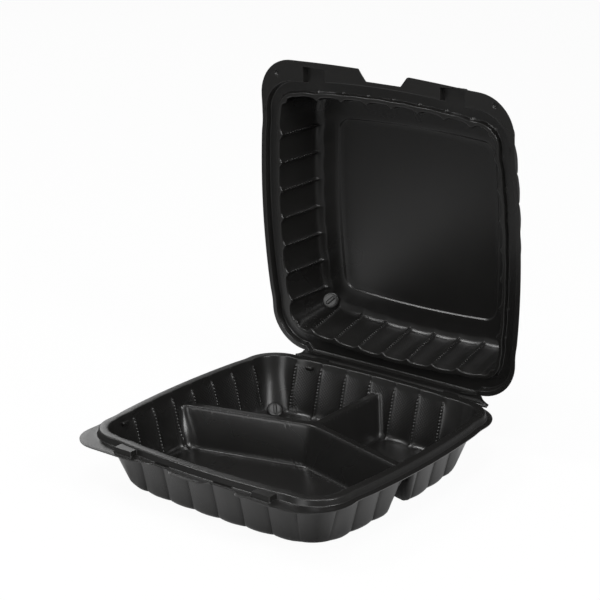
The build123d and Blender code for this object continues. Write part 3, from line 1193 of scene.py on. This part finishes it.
    def _divider_points(self) -> Array:
        """Lay plan points along the faces of the divider.

        Returns:
            The points, in lines that follow the faces.
        """
        lean = math.hypot(1.0, self.divider_slope)
        points = []
        for off in self.edge_rows + self.face_rows:
            for x in np.arange(-self.face_half, self.face_half + 0.1, self.face_pitch):
                points.append((x, self.divider_front - self._bend(x) - off * lean))
                points.append((x, self.divider_rear - self._bend(x) + off * lean))
            for y in np.arange(self.stem_from, self.stem_to, self.face_pitch):
                points += [(self.stem_half + off, y), (-self.stem_half - off, y)]
        return np.array(points)

    def dress(self, obj: Object) -> None:
        """Give the tray its finish and its place in the frame."""
        obj.data.materials.append(self.finish.material("tray_sheet"))
        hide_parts("tray")
        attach(obj, "tray")


@dataclass
class Lid:
    """Upper half: roof with a raised panel, fluted wall, plug lip, rim channel and flange."""

    rim: FlutedRim
    finish: FormedSheet
    plane: float = 43.1
    depth: float = 36.5
    mouth_inset: float = 4.3
    wall_inset: float = 10.6
    wall_depth: float = 31.5
    lip_drop: float = 3.4
    lip_inset: float = 1.45
    lip_lean: float = 0.22
    roof_round: float = 7.5
    panel_shares: Steps = (0.2, 0.5, 0.8, 0.95)
    roof_steps: int = 10
    roof_ease: float = 0.45
    rib_tip: float = 1.25
    mouth_ease: float = 0.7
    lip_ease: float = 0.8
    rib_start: Ramp = Ramp(4.5, 2.4)
    wall_shares: Steps = (0.06, 0.13, 0.21, 0.3, 0.4, 0.52, 0.64, 0.76, 0.86, 0.94)
    roof_zone: float = 12.0
    lip_zone: float = 5.0
    lip_fade: float = 4.0
    hatch: float = 0.15
    hatch_low: Ramp = Ramp(1.0, 3.0)
    hatch_high: float = 4.0
    beading: float = 1.8
    mouth_round: float = 1.2
    lip_round: float = 0.6
    lip_clear: float = 0.8
    lobe: float = 2.0
    lobe_width: float = 2.6
    gusset: float = 1.1
    gusset_width: float = 1.35
    channel_out: float = 8.0
    channel_flare: float = 1.0
    step: float = 4.7
    channel_in: float = 0.7
    channel_round: float = 1.0
    toe_round: float = 0.7
    back_run: float = 4.0
    flange_rows: Steps = (-2.2, -1.5, -1.0, -0.7, -0.4, -0.1, 0.2, 0.9, 1.5, 2.1)
    flange_turn: float = 0.15
    edge_clear: float = 0.8
    panel_half: float = 69.5
    panel_bow: float = 2.2
    panel_corner: float = 11.0
    panel_rise: float = 1.2
    panel_slope: float = 1.0
    panel_round: float = 0.7
    pocket: FormedBlock = FormedBlock(59.6, 10.0, 118.2, 1.0, (-0.2, 0.1, 0.4, 0.7, 1.0, 1.5))
    pocket_from: float = 104.0
    mark_shares: Steps = (0.6, 0.85)
    pip_spot: float = 94.0
    pip_front: float = 110.7
    pip: Ramp = Ramp(2.2, -1.1)
    pip_depth: float = 1.5
    hinge_y: float = 115.84
    hinge_z: float = 36.01
    open_angle: float = 85.6

    @property
    def wall_slope(self) -> float:
        """Fall of the wall for each step outwards."""
        return (self.wall_depth + self.lip_drop) / (self.wall_inset - self.mouth_inset)

    def opened(self, points: Array) -> Array:
        """Swing points of the closed lid to where it stands open.

        Args:
            points: Points in mm with heights from the lid's rim plane.

        Returns:
            Points in the row frame in mm.
        """
        y, z = points[:, 1] - self.hinge_y, points[:, 2] + self.plane - self.hinge_z
        swung_y, swung_z = swing(y, z, -self.open_angle)
        return np.column_stack([points[:, 0], swung_y + self.hinge_y, swung_z + self.hinge_z])

    def flange(self) -> Flange:
        """Outline of the lid's flange.

        Returns:
            The flange with its apron and finger notch.
        """
        front = arc_through((-80.0, -121.6), (0.0, -122.2), (80.0, -118.2), 30)
        right = arc_through((80.0, -118.2), (100.9, -109.6), (109.5, -88.5), 14)
        left = arc_through((-109.5, -90.0), (-101.9, -112.0), (-80.0, -121.6), 14)
        apron = [*front, *right[1:], (109.5, -80.0), (-109.5, -80.0), *left[:-1]]
        notch = [(-13.0, -113.9), (16.6, -113.9), (23.9, -123.2), (-20.1, -123.2)]
        return Flange(12.8, 112.5, 112.0, [apron], [notch])

    def columns(self) -> Columns:
        """Lay out the sections of the lid.

        Returns:
            The sections, with more at the pockets, the notch and the pips.
        """
        corners = [-20.05, -19.0, -17.0, -15.0, -13.0, 16.6, 18.5, 20.3, 22.1, 23.85]
        away = self.pip_spot - self.rim.corner_centre, self.pip_front - self.rim.corner_centre
        turn = math.degrees(math.atan2(*away))
        extra = {Side.FRONT: sorted(corners + self.pocket.places())}
        return self.rim.columns(extra, {Side.FRONT: turn, Side.LEFT: 90.0 - turn})

    def build(self) -> Object:
        """Build the lid's sheet.

        Returns:
            The lid as one object, standing open.
        """
        cols = self.columns()
        mesh = SheetMesh()
        stack = self._rings(cols)
        starts = mesh.add_rings(stack.rings, stack.places)
        n = len(cols.spot)
        centre = mesh.add_points(np.array([[0.0, 0.0, self.depth + self.panel_rise]]), np.zeros((1, 3)))
        mesh.faces += [(starts[0] + (i + 1) % n, starts[0] + i, centre) for i in range(n)]
        mesh.thicken(range(starts[-1], starts[-1] + n), SHEET)
        return mesh.to_object("lid_sheet", self.opened)

    def _panel(self, cols: Columns, out: float) -> Array:
        """Plan points of the roof panel's outline, one for each section.

        Args:
            cols: Sections of the lid.
            out: Distance outside the panel's line.

        Returns:
            The plan points.
        """
        spot = self.panel_half - self.panel_corner
        share = spot / self.rim.corner_centre
        on_side = cols.side >= 0
        s = cols.spot * share
        reach = self.panel_half + self.panel_bow * (1.0 - (s / spot) ** 2) + out
        side = cols.origin * share + cols.normal * reach[:, None]
        corner_mid = (cols.origin + cols.normal * self.rim.corner_centre) * share
        corner = corner_mid + cols.normal * (self.panel_corner + out)
        return np.where(on_side[:, None], side, corner)

    def _rings(self, cols: Columns) -> RingStack:
        """Rings from the middle of the roof to the cut edge of the flange.

        Args:
            cols: Sections of the lid.

        Returns:
            The rings with their wall places.
        """
        stack = RingStack(cols)
        self._roof(stack)
        self._wall(stack)
        self._flange_rings(stack, self._lip(stack))
        for ring in stack.rings:
            share = self.pocket.share(ring[:, 0], ring[:, 1])
            ceiling = np.maximum(ring[:, 2], -self.step * (1.0 - share))
            ring[:, 2] = np.where((ring[:, 1] < -self.pocket_from) & (share > 0), ceiling, ring[:, 2])
            for spot in (-self.pip_spot, self.pip_spot):
                away = np.hypot(ring[:, 0] - spot, ring[:, 1] + self.pip_front)
                ring[:, 2] += self.pip_depth * self.pip.at(away)
        return stack

    def _roof(self, stack: RingStack) -> None:
        """Add the roof panel, its step and the rounded edge of the roof.

        Args:
            stack: Takes the rings.
        """
        cols, top = stack.cols, self.depth + self.panel_rise
        for share in self.panel_shares:
            stack.flat(self._panel(cols, -2 * self.panel_slope) * share, top)
        slope = (self.panel_slope, -self.panel_rise)
        for out, up in fillet(OUTWARD, slope, self.panel_round, 3):
            stack.flat(self._panel(cols, -self.panel_slope + out), top + up)
        for out, up in fillet(slope, OUTWARD, self.panel_round, 3):
            stack.flat(self._panel(cols, out), self.depth + up)
        corner = self.wall_inset + (self.depth - self.wall_depth) / self.wall_slope
        bend = fillet(OUTWARD, (1.0, -self.wall_slope), self.roof_round, self.roof_steps)
        ring_in = stack.rings[-1][:, :2]
        ring_out = cols.at(cols.wall(self.roof_ease, 0.0) - corner + bend[0][0], 0.0)[:, :2]
        for share in (0.35, 0.7):
            stack.flat(ring_in + (ring_out - ring_in) * share, self.depth)
        for k, (out, up) in enumerate(bend):
            fade = self.rib_tip * self.rib_start.at(k)
            stack.at(cols.wall(self.roof_ease, fade) - corner + out, self.depth + up)

    def _wall(self, stack: RingStack) -> None:
        """Add the fluted wall from the roof's edge down to the mouth.

        Args:
            stack: Takes the rings.
        """
        cols = stack.cols
        low = stack.rings[-1][0, 2]
        for share in self.wall_shares:
            z = low + (-self.lip_drop + self.mouth_round - low) * share
            inset = self.mouth_inset + (z + self.lip_drop) / self.wall_slope
            ramp = self.hatch_low.at(z) * smooth_step((low - z) / self.hatch_high)
            near_roof = smooth_step((z - low + self.roof_zone) / self.roof_zone)
            near_lip = smooth_step((self.lip_zone - z - self.lip_drop) / self.lip_fade)
            ease = max(self.roof_ease * near_roof, self.mouth_ease * near_lip)
            wall = cols.wall(ease, 1.0 + (self.rib_tip - 1.0) * near_roof)
            beads = -self.beading * cols.beads * ramp
            stack.at(wall - inset, z, self.hatch * cols.hatch * ramp + beads)

    def _lip(self, stack: RingStack) -> Array:
        """Add the plug lip with its lobes and the ticks at its top.

        Args:
            stack: Takes the rings.

        Returns:
            Reach of the lip's top.
        """
        cols = stack.cols
        lobe = self.lobe * np.exp(-((cols.ridge / self.lobe_width) ** 2))
        gusset = self.gusset * np.exp(-((cols.ridge / self.gusset_width) ** 4))
        mouth = cols.wall(self.mouth_ease, 0.0) - lobe - self.mouth_inset
        lip = cols.wall(self.lip_ease, 0.0) - self.lip_inset
        rise = (self.lip_lean, 1.0)
        stack.bend(mouth, -self.lip_drop, fillet((1.0, -self.wall_slope), OUTWARD, self.mouth_round, 5))
        stack.span(mouth + self.lip_clear, lip - self.lip_clear, (0.3, 0.6, 0.8), -self.lip_drop)
        stack.bend(lip, -self.lip_drop, fillet(OUTWARD, rise, self.lip_round, 4))
        for share in (0.35, 0.6, 0.8):
            lean = lip + self.lip_lean * self.lip_drop * share
            stack.at(lean + gusset * share**3, -self.lip_drop * (1.0 - share))
        top = lip + self.lip_lean * self.lip_drop + gusset
        stack.bend(top, 0.0, fillet(rise, OUTWARD, self.lip_round, 4))
        return top

    def _flange_rings(self, stack: RingStack, lip_top: Array) -> None:
        """Add the rim channel and the flange.

        Args:
            stack: Takes the rings.
            lip_top: Reach of the lip's top.
        """
        cols = stack.cols
        in_back = smooth_step((self.rim.corner_centre - np.abs(cols.spot)) / self.back_run)
        level = in_back * (cols.side == Side.BACK.value)
        wall_top = cols.bowed + level * (self.rim.bowed(0.0) - cols.bowed) + self.channel_out
        down = (self.channel_flare, -self.step)
        over = fillet(OUTWARD, down, self.channel_round, 5)
        stack.span(lip_top + self.channel_in, wall_top + over[0][0], (0.3, 0.65), 0.0)
        stack.bend(wall_top, 0.0, over)
        foot = wall_top + self.channel_flare
        toe = fillet(down, OUTWARD, self.toe_round, 4)
        stack.bend(foot, -self.step, toe)
        start = foot + toe[-1][0]
        edge = self.flange().edge(cols, self.channel_out + self.channel_flare)
        mark = self.pocket.mark(cols, start, edge, *self.mark_shares)
        last, far = self.flange_rows[-1], np.maximum(edge - self.edge_clear, start)
        stack.span(start, np.maximum(mark - last, start), (0.35, 0.65), -self.step)
        for d in self.flange_rows:
            stack.at(np.minimum(np.maximum(mark + d, start), far), -self.step)
        after = np.minimum(mark + last, far)
        for share in (0.35, 0.7, 0.92, 1.0):
            stack.at(after + (edge - after) * share, -self.step + self.flange_turn * share**2)

    def dress(self, obj: Object) -> None:
        """Give the lid its finish and its place in the frame."""
        obj.data.materials.append(self.finish.material("lid_sheet"))
        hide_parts("lid")
        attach(obj, "lid")


@dataclass
class HingeWeb:
    """Folding web between the two flanges, with a half-round bead along the fold."""

    lid: Lid
    finish: FormedSheet
    half: float = 88.0
    bead: float = 1.2
    taper: float = 7.0
    steps: int = 110
    bead_turn: Steps = (190.0, 52.0)
    bead_steps: int = 8
    tip_share: float = 0.04
    fold_from: Steps = (-1.6, 0.3)
    fold_to: Steps = (0.9, 1.6)

    def section(self) -> list[tuple[float, float]]:
        """Section of the web's upper skin at rest.

        Returns:
            Places (y, z) in the row frame in mm, from the tray to the lid.
        """
        y0, z0 = self.lid.hinge_y, self.lid.hinge_z
        tray = [(-6.2, 1.98), (-4.2, 1.98), (-3.4, 1.86), (-2.6, 1.4), (-1.9, 0.85), (-1.35, 0.45)]
        lid_closed = [(-1.35, 0.75), (-1.9, 1.15), (-2.6, 1.75), (-3.4, 2.26), (-4.2, 2.4), (-6.2, 2.4)]
        swung = [swing(y, z, -self.lid.open_angle) for y, z in lid_closed]
        low, high = map(math.radians, self.bead_turn)
        arc = [low + (high - low) * k / self.bead_steps for k in range(self.bead_steps + 1)]
        bead = [(self.bead * math.cos(t), self.bead * math.sin(t)) for t in arc]
        return [(y0 + y, z0 + z) for y, z in tray + bead + swung]

    def build(self) -> Object:
        """Build the web.

        Returns:
            The web at rest.
        """
        section = self.section()
        mesh = SheetMesh()
        xs = self.half * np.sin(np.linspace(-math.pi / 2, math.pi / 2, self.steps + 1))
        count = len(section)
        axis = np.array([self.lid.hinge_y, self.lid.hinge_z])
        arms = np.array(section) - axis
        reach = np.linalg.norm(arms, axis=1, keepdims=True)
        for x in xs:
            left = max(self.half - abs(float(x)), 0.0) / self.taper
            share = 1.0 - (1.0 - min(left, 1.0)) ** 0.5
            width = self.tip_share + (1.0 - self.tip_share) * share
            kept = np.where(reach > self.bead, self.bead + (reach - self.bead) * width, reach)
            ends = np.column_stack([np.full(count, x), axis + arms / reach * kept])
            mesh.add_points(ends, np.zeros((count, 3)))
        for i in range(self.steps):
            for j in range(count - 1):
                a = i * count + j
                mesh.faces.append((a, a + count, a + count + 1, a + 1))
        edge = list(range(count)) + [i * count + count - 1 for i in range(1, self.steps + 1)]
        edge += [self.steps * count + j for j in range(count - 2, -1, -1)]
        edge += [i * count for i in range(self.steps - 1, 0, -1)]
        mesh.thicken(list(reversed(edge)), SHEET)
        return mesh.to_object("hinge_web", lambda p: p)

    def dress(self, obj: Object) -> None:
        """Give the web its finish and bake its place into its points."""
        obj.data.materials.append(self.finish.material("hinge_web"))
        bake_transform(obj)


@dataclass
class RoundMark:
    """Low round mark with a bar across it, at the foot of a back corner."""

    name: str
    body: str
    spot: Triple
    tilt: float
    finish: FormedSheet
    sheet: Callable[[Array, Array], Array] | None = None
    skirt: float = 0.75
    radius: float = 6.0
    rise: float = 0.7
    bar_half: float = 4.4
    bar_width: float = 1.5
    bar_rise: float = 0.7
    steps: int = 48
    bar_steps: int = 9
    sharp: float = 40.0

    def build(self, move: Move) -> Object:
        """Build the mark in its corner.

        Args:
            move: Takes points in mm to the row frame.

        Returns:
            The mark as one object.
        """
        mesh = SheetMesh()
        profile = [(self.radius + 0.3, -self.skirt), (self.radius + 0.2, -0.2), (self.radius, 0.25)]
        profile += [(self.radius - 0.35, 0.55), (self.radius - 0.9, self.rise)]
        profile += [(self.radius * 0.5, self.rise + 0.05)]
        n = self.steps
        turns = np.linspace(0.0, FULL_TURN, n, endpoint=False)
        spot = Matrix.Translation(Vector(self.spot)) @ Matrix.Rotation(math.radians(-45), 4, "Z")
        place = np.array(spot @ Matrix.Rotation(math.radians(self.tilt), 4, "Y"))
        turn, shift = place[:3, :3], place[:3, 3]
        rings = [np.column_stack([r * np.cos(turns), r * np.sin(turns), np.full(n, z)]) for r, z in profile]
        if self.sheet:
            low = rings[0] @ turn.T + shift
            low[:, 2] = np.minimum(low[:, 2], self.sheet(low[:, 0], low[:, 1]) - SHEET / 2)
            rings[0] = (low - shift) @ turn
        starts = mesh.add_rings(rings, [np.zeros((n, 3))] * len(rings))
        mesh.cap(starts[0], n, flip=True)
        tip = mesh.add_points(np.array([[0.0, 0.0, self.rise + 0.06]]), np.zeros((1, 3)))
        mesh.faces += [(starts[-1] + i, starts[-1] + (i + 1) % n, tip) for i in range(n)]
        self._bar(mesh)
        return mesh.to_object(self.name, lambda p: move(p @ turn.T + shift), self.sharp)

    def _bar(self, mesh: SheetMesh) -> None:
        """Add the raised bar with its round ends.

        Args:
            mesh: Takes the bar.
        """
        quarter, flat = math.pi / 2, self.bar_half - self.bar_width
        right = [(flat, t) for t in np.linspace(-quarter, quarter, self.bar_steps)]
        left = [(-flat, t) for t in np.linspace(quarter, 3 * quarter, self.bar_steps)]
        loops = []
        for share, z in [(1.0, -0.2), (1.0, 0.3), (0.86, 0.56), (0.5, self.bar_rise)]:
            r = self.bar_width * share
            loop = [(c + r * math.cos(t), r * math.sin(t), self.rise + z) for c, t in right + left]
            loops.append(np.array(loop))
        n = 2 * self.bar_steps
        starts = mesh.add_rings(loops, [np.zeros((n, 3))] * len(loops))
        mesh.cap(starts[0], n, flip=True)
        mesh.cap(starts[-1], n)

    def dress(self, obj: Object) -> None:
        """Give the mark its finish and let it ride on its half."""
        obj.data.materials.append(self.finish.material(self.name))
        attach(obj, self.body)


@dataclass
class StackLug:
    """Small rounded block inside the rim that keeps nested trays apart."""

    name: str
    middle: Triple
    half: Triple
    finish: FormedSheet
    edge: float = 0.9
    steps: int = 32
    lifts: int = 12
    steepest: float = 88.0

    def build(self) -> Object:
        """Build the block.

        Returns:
            The block as one closed object.
        """
        mesh = SheetMesh()
        core = np.array(self.half) - self.edge
        around = np.linspace(0.0, FULL_TURN, self.steps, endpoint=False) + math.pi / self.steps
        rings = []
        for lift in np.linspace(-self.steepest, self.steepest, self.lifts):
            t = math.radians(float(lift))
            up = np.full(self.steps, math.sin(t))
            n = np.column_stack([np.cos(around) * math.cos(t), np.sin(around) * math.cos(t), up])
            rings.append(np.array(self.middle) + np.sign(n) * core + n * self.edge)
        starts = mesh.add_rings(rings, [np.zeros((self.steps, 3))] * len(rings))
        mesh.cap(starts[0], self.steps, flip=True)
        mesh.cap(starts[-1], self.steps)
        return mesh.to_object(self.name, to_row)

    def dress(self, obj: Object) -> None:
        """Give the block its finish and let it ride on the tray."""
        obj.data.materials.append(self.finish.material(self.name))
        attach(obj, "tray")


@dataclass(frozen=True)
class Lamp:
    """Soft square lamp: place and aim in metres, width of its face in metres, power in watts."""

    name: str
    place: Triple
    size: float
    power: float
    aim: Triple = (0.0, 0.0, 0.1)

    def build(self) -> None:
        """Hang the lamp and turn it to its aim."""
        light = bpy.data.lights.new(self.name, "AREA")
        light.shape = "RECTANGLE"
        light.size = light.size_y = self.size
        light.energy = self.power
        obj = add_object(self.name, light)
        obj.location = self.place
        obj.rotation_euler = (Vector(self.aim) - Vector(self.place)).to_track_quat("-Z", "Y").to_euler()


@dataclass(frozen=True)
class Studio:
    """White sweep, soft lamps and the camera of the view."""

    azimuth: float = 37.348
    elevation: float = 18.433
    roll: float = 0.068
    distance: float = 1.25258
    target: Triple = (-0.00241, 0.00972, 0.12761)
    lens: float = 108.239
    ambient: float = 0.25
    floor_white: float = 0.95
    # Floor levels seen in reflections are painted: painted light near the object, painted shade far away.
    painted_light_near: float = 0.95
    painted_shade_far: float = 0.2
    floor_half: float = 6.0
    floor_drop: float = 0.0004
    floor_grey: float = 0.9
    floor_rough: float = 0.9
    # Painted shadow under the object in reflections, and the reaches over which the painted shadow and the
    # painted far shade fade in.
    painted_shade_under: float = 0.1
    painted_shade_under_reach: Steps = (0.07, 0.125)
    painted_shade_far_reach: Steps = (0.15, 0.32)
    lamps: tuple[Lamp, ...] = (
        Lamp("key", (-0.9, -0.5, 1.5), 0.5, 9.5),
        Lamp("front", (0.0, -1.8, 0.55), 0.8, 7.0, (0.0, 0.0, 0.05)),
        Lamp("right", (1.35, -0.25, 0.95), 0.45, 11.0),
        Lamp("high", (0.5, -0.85, 1.45), 0.4, 9.0),
        Lamp("top", (0.26, 0.0, 1.8), 0.5, 4.0),
        Lamp("back", (-1.6, 1.18, 0.86), 0.5, 2.6, (0.0, 0.0, 0.05)),
    )

    def floor(self) -> Object:
        """Lay the pale floor, white to the camera, with painted light and shade where gloss sees it.

        Returns:
            The floor.
        """
        mesh = bpy.data.meshes.new("floor")
        r = self.floor_half
        mesh.from_pydata([(-r, -r, 0), (r, -r, 0), (r, r, 0), (-r, r, 0)], [], [(0, 1, 2, 3)])
        floor = add_object("floor", mesh)
        floor.location.z = -self.floor_drop
        mat = bpy.data.materials.new("studio_floor")
        mat.use_nodes = True
        nodes = mat.node_tree.nodes
        graph = NodeGraph(mat.node_tree)
        grey = (self.floor_grey, self.floor_grey, self.floor_grey, 1.0)
        graph.feed(nodes["Principled BSDF"], {"Base Color": grey, "Roughness": self.floor_rough})
        rays = graph.add("LightPath", {}).outputs
        camera, gloss = rays["Is Camera Ray"], rays["Is Glossy Ray"]
        seen = graph.calc("MULTIPLY_ADD", camera, self.floor_white, gloss)
        # Gloss rays see only emission at a painted level: painted light round the object, painted shadow
        # under it, painted shade far away.
        level = graph.calc("MULTIPLY_ADD", gloss, self._painted_light_patch(graph), camera)
        white = graph.add("Emission", {"Strength": level}).outputs["Emission"]
        shade = nodes["Principled BSDF"].outputs["BSDF"]
        mix = graph.add("MixShader", {"Fac": seen, 1: shade, 2: white}).outputs["Shader"]
        graph.feed(nodes["Material Output"], {"Surface": mix})
        mesh.materials.append(mat)
        return floor

    def _painted_light_patch(self, graph: NodeGraph) -> Socket:
        """Level at which gloss sees the floor: painted light round the object, painted shadow under it and
        painted shade far away.

        Args:
            graph: Nodes of the floor's material.

        Returns:
            The socket that holds the level.
        """
        coords = graph.add("TexCoord", {}).outputs["Object"]
        size = graph.add("VectorMath", {0: coords})
        size.operation = "ABSOLUTE"
        place = graph.add("SeparateXYZ", {"Vector": size.outputs["Vector"]}).outputs
        reach = graph.calc("MAXIMUM", place["X"], place["Y"])
        # Painted shadow under the object, then painted shade far from it.
        under = graph.ramp(reach, self.painted_shade_under_reach, (self.painted_shade_under, self.painted_light_near), "SMOOTHSTEP")
        far = graph.ramp(reach, self.painted_shade_far_reach, (1.0, self.painted_shade_far), "SMOOTHSTEP")
        return graph.calc("MULTIPLY", under, far)

    def world(self) -> None:
        """Fill the surroundings: white where the camera sees them, dimmer as light."""
        world = bpy.data.worlds.new("studio")
        bpy.context.scene.world = world
        world.use_nodes = True
        graph = NodeGraph(world.node_tree)
        rays = graph.add("LightPath", {}).outputs
        seen = graph.calc("MAXIMUM", rays["Is Camera Ray"], rays["Is Transmission Ray"])
        level = graph.ramp(seen, (0.0, 1.0), (self.ambient, 1.0))
        back = {"Color": (1.0, 1.0, 1.0, 1.0), "Strength": level}
        graph.feed(world.node_tree.nodes["Background"], back)

    def camera(self) -> None:
        """Set the camera at the view's place."""
        az, el, roll = (math.radians(v) for v in (self.azimuth, self.elevation, self.roll))
        back = Vector((math.sin(az) * math.cos(el), -math.cos(az) * math.cos(el), math.sin(el)))
        right = Vector((math.cos(az), math.sin(az), 0.0))
        up = back.cross(right)
        turned = right * math.cos(roll) + up * math.sin(roll)
        upright = up * math.cos(roll) - right * math.sin(roll)
        place = Vector(self.target) + back * self.distance
        data = bpy.data.cameras.new("camera")
        data.sensor_width = 36.0
        data.sensor_fit = "HORIZONTAL"
        data.lens = self.lens
        data.clip_start = 0.05
        data.clip_end = 50.0
        cam = add_object("camera", data)
        rows = Matrix((turned, upright, back)).transposed()
        cam.matrix_world = Matrix.Translation(place) @ rows.to_4x4()
        bpy.context.scene.camera = cam

    def build(self) -> None:
        """Set up floor, light and camera."""
        bpy.context.scene.view_settings.view_transform = "Standard"
        self.floor()
        self.world()
        for lamp in self.lamps:
            lamp.build()
        self.camera()


def main() -> None:
    """Build and dress every piece, then the studio."""
    logging.basicConfig(level=logging.INFO, format="%(message)s")
    rim = FlutedRim()
    sheet = FormedSheet()
    tray, lid = Tray(rim, sheet), Lid(FlutedRim(shifts=(6.0, 7.4, 5.0, 7.4)), sheet)
    web = HingeWeb(lid, sheet)
    tray_mark = RoundMark("tray_mark", "tray", (-80.4, 80.4, -38.2), 40.0, sheet, tray.height, 0.25)
    lid_mark = RoundMark("lid_mark", "lid", (-81.0, 81.0, 32.5), 150.0, sheet, radius=6.4)
    lugs = [
        StackLug("stack_lug_left", (-97.4, -70.0, -5.0), (2.0, 3.0, 1.5), sheet),
        StackLug("stack_lug_back", (-60.0, 97.4, -5.0), (3.0, 2.0, 1.5), sheet),
    ]
    built = [(piece, piece.build()) for piece in (tray, lid, web, *lugs)]
    built += [(mark, mark.build(move)) for mark, move in ((tray_mark, to_row), (lid_mark, lid.opened))]
    for piece, obj in built:
        piece.dress(obj)
        LOG.info("%s: %d points", obj.name, len(obj.data.vertices))
    Studio().build()


if __name__ == "__main__":
    main()
